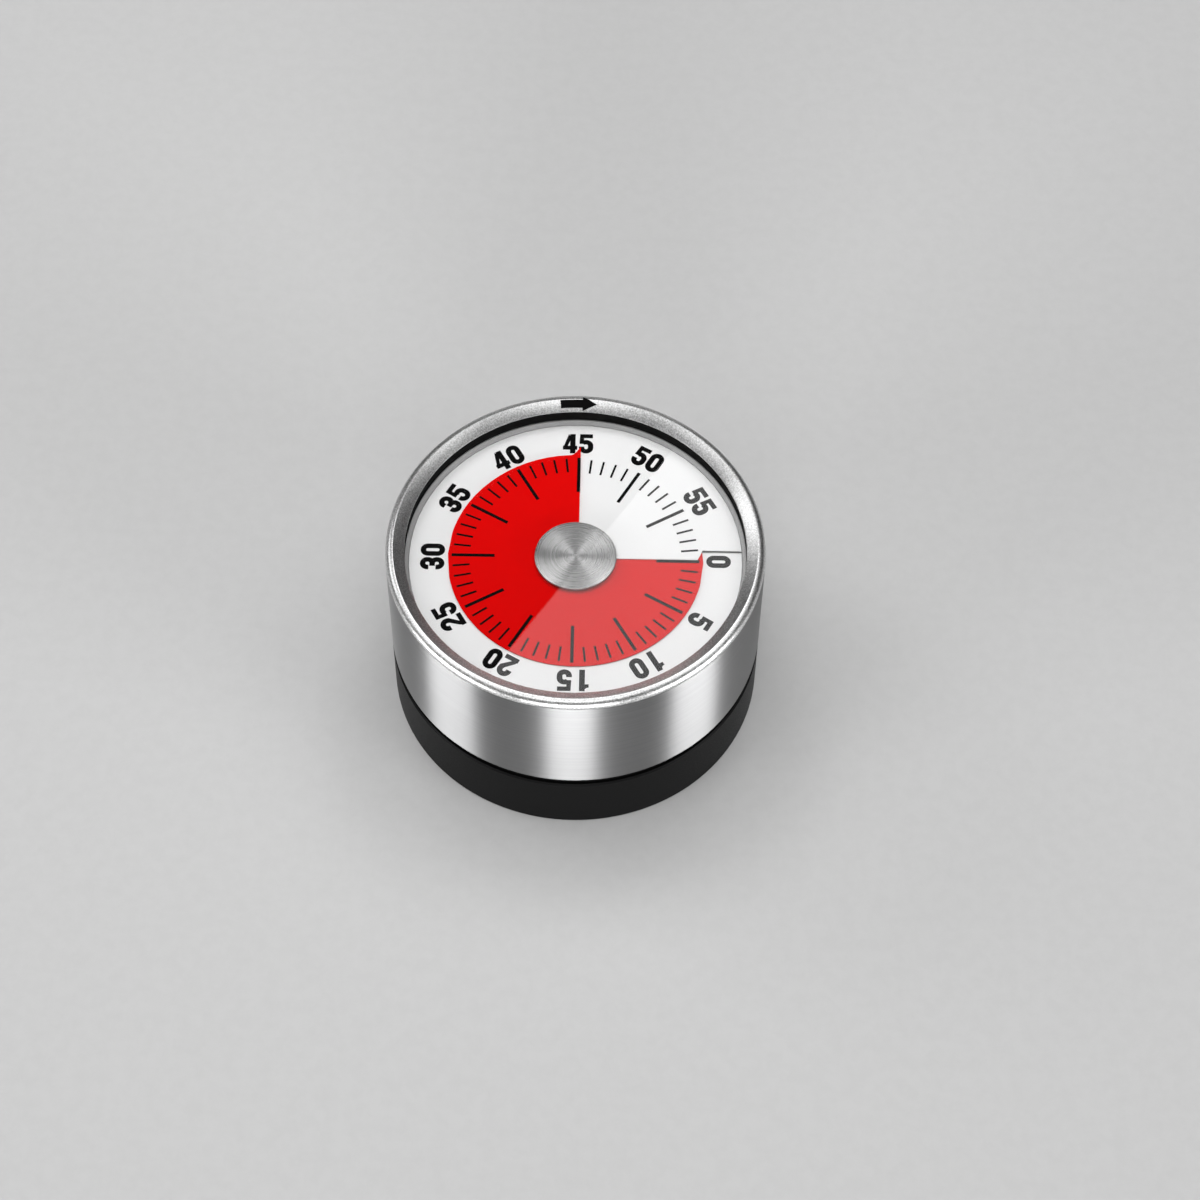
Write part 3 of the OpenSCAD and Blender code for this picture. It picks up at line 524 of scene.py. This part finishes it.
@dataclass(frozen=True)
class Digits:
    """Bold, narrow digits drawn with a broad nib, in a cell from the lower left corner."""

    height: float = 5.5
    width: float = 3.3
    stem: float = 1.24
    bar: float = 1.1
    space: float = 0.38
    hook: float = 0.3
    one_w: float = 2.1
    flag: Span = (1.75, 0.95)
    cross_z: float = 1.05
    overhang: float = 0.42
    bowl_z: float = 2.2
    bowl_turn: float = 140.0

    @property
    def round_r(self) -> float:
        """Radius of the round ends."""
        return self.width / 2

    @property
    def top_z(self) -> float:
        """Height of the upper round end's centre."""
        return self.height - self.round_r

    @property
    def right(self) -> float:
        """Inner edge of a stem at the right."""
        return self.width - self.stem

    def _over_top(self, pen: Pen, start: float) -> None:
        """Starts a stroke at the left, and runs it up from a height and round the top."""
        pen.nib((self.stem, start), (0, start)).line((self.stem, self.top_z), (0, self.top_z))
        pen.arc((self.round_r, self.top_z), -180)

    def _round_foot(self, pen: Pen) -> None:
        """Runs a stroke's right side down and round the bottom."""
        pen.line((self.right, self.round_r), (self.width, self.round_r))
        pen.arc((self.round_r, self.round_r), -180)

    def _bowl_ends(self, pen: Pen) -> None:
        """Runs a bowl round the bottom and up to its left end."""
        self._round_foot(pen)
        end = self.round_r + self.hook
        pen.line((self.stem, end), (0, end))

    def zero(self, pen: Pen) -> None:
        """An oval with straight sides."""
        self._over_top(pen, self.round_r)
        self._round_foot(pen)

    def one(self, pen: Pen) -> None:
        """A stem with a flag."""
        left, right = self.one_w - self.stem, self.one_w
        pen.nib((right, 0), (left, 0)).line((right, self.height), (left, self.height))
        low, high = self.height - self.flag[0], self.height - self.flag[1]
        pen.nib((0, low), (0, high)).line((0.45, low), (0.45, high + 0.08))
        pen.line((0.9, low), (0.9, high + 0.45)).line((left + 0.3, low), (left + 0.1, self.height))

    def two(self, pen: Pen) -> None:
        """A hook, a diagonal and a foot."""
        self._over_top(pen, self.top_z - self.hook)
        pen.line((self.right, 3.75), (self.width, 3.6))
        pen.line((self.right - 0.14, 3.3), (self.width - 0.16, 2.95))
        pen.line((0.42, 1.55), (1.32, 1.1)).line((0.06, 0.8), (1.16, 0.8))
        pen.nib((0, 0), (0, self.bar)).line((self.width, 0), (self.width, self.bar))

    def three(self, pen: Pen) -> None:
        """Two bowls that share a middle bar."""
        middle, half = self.height / 2, self.stem / 2
        upper, lower = middle + self.round_r - half, middle - self.round_r + half
        self._over_top(pen, self.top_z - self.hook)
        pen.line((self.right, upper), (self.width, upper)).arc((self.round_r, upper), -90)
        pen.line((0.95, middle + half), (0.95, middle - half))
        pen.nib((self.round_r, middle - half), (self.round_r, middle + half))
        pen.arc((self.round_r, lower), -90)
        self._bowl_ends(pen)

    def four(self, pen: Pen) -> None:
        """A diagonal, a crossbar and a stem."""
        left, right = self.right - self.overhang, self.width - self.overhang
        low, high = self.cross_z, self.cross_z + self.bar
        pen.nib((right, 0), (left, 0)).line((right, self.height), (left, self.height))
        pen.nib((0, low), (0, high)).line((self.width, low), (self.width, high))
        pen.nib((0, low + 0.3), (0.92, low + 0.5))
        pen.line((left - 0.3, self.height), (left + 0.35, self.height - 0.9))

    def five(self, pen: Pen) -> None:
        """A top bar, a short stem and a bowl."""
        pen.nib((0.25, self.height - self.bar), (0.25, self.height))
        pen.line((self.width - 0.12, self.height - self.bar), (self.width - 0.12, self.height))
        pen.nib((1.14, 2.75), (0.12, 2.75)).line((1.2, self.height), (0.25, self.height))
        turn = math.radians(self.bowl_turn)
        inner = self.round_r - self.stem
        pen.nib((self.round_r + inner * math.cos(turn), self.bowl_z + inner * math.sin(turn)),
                (self.round_r + self.round_r * math.cos(turn), self.bowl_z + self.round_r * math.sin(turn)))
        pen.arc((self.round_r, self.bowl_z), -self.bowl_turn)
        self._bowl_ends(pen)

    def number(self, value: int) -> bmesh.types.BMesh:
        """Draws a number centred on the origin.

        Args:
            value: The number.

        Returns:
            A flat mesh that faces up.
        """
        draw: dict[str, Callable[[Pen], None]] = {
            "0": self.zero, "1": self.one, "2": self.two, "3": self.three, "4": self.four, "5": self.five}
        signs = str(value)
        step = self.width + self.space
        mesh = bmesh.new()
        for place, sign in enumerate(signs):
            before = set(mesh.verts)
            draw[sign](Pen(mesh))
            fresh = [v for v in mesh.verts if v not in before]
            bmesh.ops.translate(mesh, verts=fresh, vec=(place * step, 0, 0))
        shift = -(len(signs) * step - self.space) / 2
        bmesh.ops.translate(mesh, verts=mesh.verts, vec=(shift, -self.height / 2, 0))
        return merged_outline(mesh)


@dataclass(frozen=True)
class Sheet:
    """A disc sheet that climbs like a screw, clockwise seen from the front."""

    start_z: float
    rise: float
    thickness: float

    def top(self, clockwise: float) -> float:
        """Height of the sheet's upper face at an unwrapped clockwise angle in degrees."""
        return self.start_z + self.rise * clockwise / 360 + self.thickness / 2


@dataclass(frozen=True)
class DialPrints:
    """Ticks and numerals on the white dial and on the red disc."""

    sheet_rise: float = 0.7
    sheet_t: float = 0.2
    dial_start_z: float = 40.25
    red_first: float = 270.0
    lift: float = 0.01
    ink: float = 0.03
    numeral_r: float = 30.25
    numeral_h: float = 5.2
    slit_jog: float = 2.4
    long_span: Span = (17.1, 26.2)
    short_span: Span = (22.4, 26.0)
    long_w: float = 0.72
    short_w: float = 0.46
    edge_shift: float = 0.28
    red_shift: float = 0.6

    def _place(self, mesh: bmesh.types.BMesh, clockwise: float, start_z: float, over: float) -> None:
        """Turns a shape to its clockwise angle, thickens it and lays it on its sheet.

        Args:
            mesh: The flat shape, along +Y.
            clockwise: Its unwrapped clockwise angle.
            start_z: Height of the sheet's middle at clockwise angle zero.
            over: How far the sheet is turned on past its own angle.
        """
        thicken(mesh, self.ink)
        turn = Matrix.Rotation(math.radians(-90 - clockwise), 3, "Z")
        bmesh.ops.rotate(mesh, verts=mesh.verts, cent=(0, 0, 0), matrix=turn)
        sheet = Sheet(start_z, self.sheet_rise, self.sheet_t)
        for vert in mesh.verts:
            x, y, _ = vert.co
            spot = math.degrees(-math.atan2(y, x))
            near = clockwise + (spot - clockwise + 180) % 360 - 180
            back = math.degrees(math.asin(over / math.hypot(x, y)))
            vert.co.z += sheet.top(near - back) + self.lift

    def _tick(self, minute: int) -> bmesh.types.BMesh:
        """A flat tick along +Y, long at every fifth minute, beside its minute's line."""
        is_long = minute % 5 == 0
        span, wide = (self.long_span, self.long_w) if is_long else (self.short_span, self.short_w)
        mesh = bmesh.new()
        low, high = self.edge_shift - wide / 2, self.edge_shift + wide / 2
        Pen(mesh).nib((high, span[0]), (low, span[0])).line((high, span[1]), (low, span[1]))
        return merged_outline(mesh)

    def numerals(self) -> bpy.types.Object:
        """Builds the twelve numerals, tops outwards, where the slit's jog sets the white sheet back."""
        digits = Digits()
        share = self.numeral_h / digits.height
        made = []
        for minute in range(0, 60, 5):
            mesh = digits.number(minute)
            bmesh.ops.scale(mesh, verts=mesh.verts, vec=(share, share, 1))
            bmesh.ops.translate(mesh, verts=mesh.verts, vec=(0, self.numeral_r, 0))
            self._place(mesh, minute * 6.0, self.dial_start_z, -self.slit_jog)
            made.append(mesh)
        return object_from("dial_numerals", gather(made), INK)

    def ticks(self, name: str, start_z: float, first: float, over: float) -> bpy.types.Object:
        """Builds one sheet's ticks.

        Args:
            name: The piece's name.
            start_z: Height of the sheet's middle at clockwise angle zero.
            first: Clockwise angle at which the sheet starts.
            over: How far the sheet is turned on past its own angle, at the rim.

        Returns:
            The piece.
        """
        made = []
        for minute in range(1, 61) if first else range(0, 60):
            mesh = self._tick(minute)
            self._place(mesh, first + minute * 6.0, start_z, over)
            made.append(mesh)
        return object_from(name, gather(made), INK)

    def build(self) -> list[bpy.types.Object]:
        """Builds all prints and lets each ride with its sheet."""
        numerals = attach(self.numerals(), Body.BASE.value)
        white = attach(self.ticks("dial_ticks", self.dial_start_z, 0.0, 0.0), Body.BASE.value)
        red_start = self.dial_start_z - self.sheet_rise / 2
        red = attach(self.ticks("disc_ticks", red_start, self.red_first, self.red_shift), Body.DISC.value)
        return [numerals, white, red]


@dataclass(frozen=True)
class TurningRing:
    """The steel ring with its bezel, lens, cap and printed arrow."""

    outer_r: float = 40.0
    inner_r: float = 39.2
    foot_z: float = 17.0
    parting_z: float = 45.3
    top_z: float = 46.97
    roll_r: float = 1.67
    window_r: float = 36.0
    lip_z: float = 45.7
    parting_w: float = 0.15
    lens_r: float = 36.23
    lens_z: Span = (42.0, 43.5)
    cap_r: float = 8.65
    cap_z: Span = (41.55, 41.98)
    arrow_len: float = 7.9
    arrow_shaft: float = 1.8
    arrow_head: float = 3.2
    arrow_head_len: float = 3.1
    arrow_middle: float = 1.5
    arrow_t: float = 0.02
    arrow_lift: float = 0.01
    arrow_cuts: int = 12
    arrow_blunt: float = 0.02

    def sleeve(self) -> bpy.types.Object:
        """The brushed sleeve, with a hemmed foot and a broken upper edge."""
        hem, edge = 0.3, 0.08
        profile = (
            [(self.inner_r, self.foot_z)]
            + fillet((self.outer_r - hem, self.foot_z + hem), hem, -90, 0)
            + fillet((self.outer_r - edge, self.parting_z - edge), edge, 0, 90, 3)
            + [(self.inner_r, self.parting_z)])
        made = object_from("sleeve_skin", lathe(profile, True), SLOT_FINISH["brushed_steel"])
        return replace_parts(made, "ring_sleeve")

    def bezel(self) -> bpy.types.Object:
        """The satin bezel: a rolled outer edge, a crest and a slope down to the window."""
        crest_r = self.outer_r - self.roll_r
        neck_r = self.outer_r - self.parting_w
        profile = (
            [(self.window_r, self.parting_z), (neck_r, self.parting_z),
             (neck_r, self.parting_z + self.parting_w)]
            + fillet((crest_r, self.parting_z), self.roll_r, 5, 90, 16)
            + [(self.window_r + self.parting_w, self.lip_z), (self.window_r, self.lip_z - self.parting_w)])
        made = object_from("bezel_skin", lathe(profile, True), SLOT_FINISH["satin_steel"])
        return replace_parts(made, "bezel")

    def lens(self) -> bpy.types.Object:
        """The flat clear lens with broken edges, black round its rim where it is bonded in."""
        low, high = self.lens_z
        edge = 0.18
        profile = [(0, low), (self.lens_r - edge, low), (self.lens_r, low + edge),
                   (self.lens_r, high - edge / 2), (self.lens_r - edge / 2, high), (0, high)]
        made = object_from("lens_skin", lathe(profile, False), SLOT_FINISH["clear_lens"])
        made.data.materials.append(SLOT_FINISH["black_plastic"].material())
        for face in made.data.polygons:
            face.material_index = int(face.center.xy.length > (self.lens_r - edge) * MM)
        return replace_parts(made, "lens")

    def cap(self) -> bpy.types.Object:
        """The spun cap with a rolled rim."""
        low, high = self.cap_z
        edge = 0.15
        profile = ([(0, low), (self.cap_r, low)]
                   + fillet((self.cap_r - edge, high - edge), edge, 0, 90)
                   + [(self.cap_r * share, high) for share in (0.75, 0.5, 0.25)] + [(0, high)])
        made = object_from("cap_skin", lathe(profile, False, 192), SLOT_FINISH["spun_metal"])
        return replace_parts(made, "center_cap")

    def _on_bezel(self, along: float, lift: float) -> Point:
        """Radius and height of a place on the bezel, by its distance outwards from the window."""
        start = Vector((self.window_r + self.parting_w, self.lip_z))
        crest = Vector((self.outer_r - self.roll_r, self.top_z))
        slope = (crest - start).normalized()
        length = (crest - start).length
        if along <= length:
            place = start + slope * along + Vector((-slope.y, slope.x)) * lift
            return place.x, place.y
        turn = (along - length) / self.roll_r
        reach = self.roll_r + lift
        return crest.x + reach * math.sin(turn), self.parting_z + reach * math.cos(turn)

    def arrow(self) -> bpy.types.Object:
        """The printed arrow on the bezel at the far side, pointing the way that winds the timer."""
        mesh = bmesh.new()
        tip = self.arrow_len / 2
        back, neck = -tip, tip - self.arrow_head_len
        shaft, head = self.arrow_shaft / 2, self.arrow_head / 2
        pen = Pen(mesh).nib((back, -shaft), (back, shaft))
        pen.line((neck, -shaft), (neck, shaft))
        pen.nib((neck, -head), (neck, head)).line((tip, -self.arrow_blunt), (tip, self.arrow_blunt))
        flat = merged_outline(mesh)
        for step in range(1, self.arrow_cuts):
            share = step / self.arrow_cuts
            for normal, place in (((1, 0, 0), back + self.arrow_len * share),
                                  ((0, 1, 0), -head + self.arrow_head * share)):
                geometry = list(flat.verts) + list(flat.edges) + list(flat.faces)
                bmesh.ops.bisect_plane(flat, geom=geometry, dist=MERGE, plane_co=Vector(normal) * place,
                                       plane_no=normal)
        thicken(flat, self.arrow_t)
        for vert in flat.verts:
            around = vert.co.x / (self.window_r + self.arrow_middle)
            r, z = self._on_bezel(self.arrow_middle + vert.co.y, vert.co.z + self.arrow_lift)
            vert.co = (r * math.sin(around), r * math.cos(around), z)
        return object_from("bezel_arrow", flat, INK)

    def build(self) -> list[bpy.types.Object]:
        """Builds the ring's pieces, which ride with the ring."""
        made = [self.sleeve(), self.bezel(), self.lens(), self.cap(), self.arrow()]
        for piece in made:
            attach(piece, Body.RING.value)
        return made


@dataclass(frozen=True)
class HammerLeaf:
    """The leaf spring behind the hammer's tail, clipped on a pillar."""

    clip: Point = (19.799, -19.799)
    tip: Point = (10.527, -6.418)
    clip_r: float = 1.72
    leaf_t: float = 0.25
    low_z: float = 22.8
    high_z: float = 24.8
    inset: float = 0.1
    cuts: int = 24

    def build(self) -> list[bpy.types.Object]:
        """Builds the leaf in place of the imported spring."""
        outer_r = self.clip_r + self.leaf_t
        mesh = lathe([(self.clip_r, self.low_z), (outer_r, self.low_z), (outer_r, self.high_z),
                      (self.clip_r, self.high_z)], True, 48)
        bmesh.ops.translate(mesh, verts=mesh.verts, vec=(*self.clip, 0))
        clip, tip = Vector(self.clip), Vector(self.tip)
        along = (tip - clip).normalized()
        root = clip + along * (self.clip_r + self.leaf_t / 2)
        middle = (root + tip) / 2
        width = self.high_z - self.low_z - 2 * self.inset
        place = (Matrix.Translation((*middle, (self.low_z + self.high_z) / 2))
                 @ Matrix.Rotation(math.atan2(along.y, along.x), 4, "Z")
                 @ Matrix.Diagonal(((tip - root).length, self.leaf_t, width, 1)))
        before = set(mesh.edges)
        bmesh.ops.create_cube(mesh, size=1.0, matrix=place)
        long_edges = [edge for edge in mesh.edges
                      if edge not in before and edge.calc_length() > self.high_z - self.low_z]
        bmesh.ops.subdivide_edges(mesh, edges=long_edges, cuts=self.cuts, use_grid_fill=True)
        made = object_from("hammer_leaf", mesh, SLOT_FINISH["spring_steel"])
        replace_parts(made, "hammer_spring")
        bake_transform(made)
        return [made]


@dataclass(frozen=True)
class Softbox:
    """A rectangular lamp that faces the timer, with angles in degrees and lengths in metres."""

    name: str
    azimuth: float
    elevation: float
    distance: float
    width: float
    height: float
    radiance: float

    def build(self, target: Vector) -> bpy.types.Object:
        """Makes the lamp.

        Args:
            target: The place that it faces, in metres.

        Returns:
            The lamp.
        """
        turn, rise = math.radians(self.azimuth), math.radians(self.elevation)
        away = Vector((math.sin(turn) * math.cos(rise), -math.cos(turn) * math.cos(rise), math.sin(rise)))
        made = area_lamp(self.name, self.width, self.height, self.radiance)
        made.location = target + away * self.distance
        made.rotation_mode = "QUATERNION"
        made.rotation_quaternion = (-away).to_track_quat("-Z", "Y")
        return made


def area_lamp(name: str, width: float, height: float, radiance: float) -> bpy.types.Object:
    """Makes a rectangular lamp of a given brightness.

    Args:
        name: The lamp's name.
        width: Width in metres.
        height: Height in metres.
        radiance: Brightness of its face.

    Returns:
        The lamp, at the origin.
    """
    data = bpy.data.lights.new(name, "AREA")
    data.shape = "RECTANGLE"
    data.size = width
    data.size_y = height
    data.energy = radiance * math.pi * width * height
    made = bpy.data.objects.new(name, data)
    bpy.context.scene.collection.objects.link(made)
    return made


LAMPS = (
    Softbox("left_strip", -61, 6, 1.6, 0.73, 0.3, 32.0),
    Softbox("front_strip", -1, 6, 1.6, 0.64, 0.3, 40.0),
    Softbox("right_strip", 60, 6, 1.6, 0.69, 0.3, 37.0),
    Softbox("top_fill", 1, 76, 0.9, 0.5, 0.4, 3.3),
    Softbox("side_left", -98, 60, 0.9, 0.4, 0.4, 2.7),
    Softbox("side_right", 100, 60, 0.9, 0.4, 0.4, 2.4),
    Softbox("corner_left", -150, 64, 0.9, 0.26, 0.28, 5.4),
    Softbox("corner_right", 152, 64, 0.9, 0.26, 0.28, 4.0),
    Softbox("back_low", 181, 14, 1.2, 0.8, 0.2, 1.2),
    Softbox("low_left", -118, 30, 0.9, 0.34, 0.3, 3.6),
)


@dataclass(frozen=True)
class Studio:
    """Floor, lamps and camera."""

    camera_elevation: float = 55.0
    camera_azimuth: float = 1.1
    camera_distance: float = 600.0
    focal_px: float = 2860.0
    frame_px: float = 1200.0
    center_px: Point = (575.5, 543.3)
    sensor_mm: float = 36.0
    aim_z: float = 47.0
    lens_top_z: float = 43.5
    glare_edge: tuple[Point, Point] = ((-12.5, -23.2), (17.2, 22.6))
    glare_height: float = 690.0
    glare_size: Span = (0.5, 0.35)
    glare_radiance: float = 1.0
    floor_half: float = 1.5
    floor_tone: Color = (0.52, 0.52, 0.52)
    floor_shade: Color = (0.5, 0.5, 0.5)
    world_level: float = 0.03
    lamp_aim_z: float = 30.0

    def camera_place(self) -> Vector:
        """The camera's place, in millimetres."""
        rise, turn = math.radians(self.camera_elevation), math.radians(self.camera_azimuth)
        away = Vector((math.cos(rise) * math.sin(turn), -math.cos(rise) * math.cos(turn), math.sin(rise)))
        return Vector((0, 0, self.aim_z)) + away * self.camera_distance

    def camera(self) -> None:
        """Makes the camera and gives it to the scene."""
        data = bpy.data.cameras.new("camera")
        data.sensor_width = self.sensor_mm
        data.lens = self.focal_px / self.frame_px * self.sensor_mm
        data.shift_x = 0.5 - self.center_px[0] / self.frame_px
        data.shift_y = self.center_px[1] / self.frame_px - 0.5
        data.clip_start = 0.01
        made = bpy.data.objects.new("camera", data)
        place = self.camera_place()
        made.location = place * MM
        made.rotation_mode = "QUATERNION"
        made.rotation_quaternion = (Vector((0, 0, self.aim_z)) - place).to_track_quat("-Z", "Y")
        bpy.context.scene.collection.objects.link(made)
        bpy.context.scene.camera = made

    def glare_panel(self) -> None:
        """Makes the overhead softbox whose one edge the flat lens mirrors across the dial."""
        eye = self.camera_place()
        share = self.glare_height / (eye.z - self.lens_top_z)
        ends = [Vector((x + (x - eye.x) * share, y + (y - eye.y) * share)) for x, y in self.glare_edge]
        run = (ends[1] - ends[0]).normalized()
        side = Vector((run.y, -run.x))
        middle = (ends[0] + ends[1]) / 2 * MM + side * self.glare_size[1] / 2
        lamp = area_lamp("glare_panel", *self.glare_size, self.glare_radiance)
        lamp.location = (middle.x, middle.y, (self.lens_top_z + self.glare_height) * MM)
        lamp.rotation_euler = (0, 0, math.atan2(run.y, run.x))

    def lamps(self) -> None:
        """Makes the softboxes round the timer."""
        target = Vector((0, 0, self.lamp_aim_z)) * MM
        for box in LAMPS:
            box.build(target)

    def floor(self) -> None:
        """Makes the pale floor."""
        mesh = bmesh.new()
        bmesh.ops.create_grid(mesh, x_segments=8, y_segments=8, size=self.floor_half / MM)
        finish = plastic("floor", self.floor_tone, self.floor_shade, (0.7, 0.8), bump=0.0, grain=300.0,
                         specular=0.2)
        made = object_from("floor", mesh, finish)

    def world(self) -> None:
        """Sets a faint even light behind the lamps."""
        world = bpy.data.worlds.new("studio")
        world.use_nodes = True
        tree = NodeTree(world.node_tree)
        glow = tree.add("ShaderNodeBackground", {"Color": (1, 1, 1, 1), "Strength": self.world_level})
        tree.add("ShaderNodeOutputWorld", {"Surface": glow.outputs[0]})
        bpy.context.scene.world = world

    def build(self) -> None:
        """Builds the set and the camera, and the plain colour view."""
        bpy.context.scene.view_settings.view_transform = "Standard"
        self.camera()
        self.world()
        self.floor()
        self.glare_panel()
        self.lamps()


def dress_solids() -> None:
    """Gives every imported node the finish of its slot."""
    slots = {part["node"]: part["material_slot"] for part in frame["record"]["subparts"]}
    for name, node in frame["nodes"].items():
        node.material_slots[0].material = SLOT_FINISH[slots[name]].material()


def main() -> None:
    """Builds the set, the finishes and every piece."""
    logging.basicConfig(level=logging.INFO, format="%(name)s: %(message)s")
    build_grain()
    build_turned()
    Studio().build()
    dress_solids()
    for assembly in (TurningRing(), DialPrints(), HammerLeaf()):
        for piece in assembly.build():
            LOG.info("%s: %d faces", piece.name, len(piece.data.polygons))


if __name__ == "__main__":
    main()
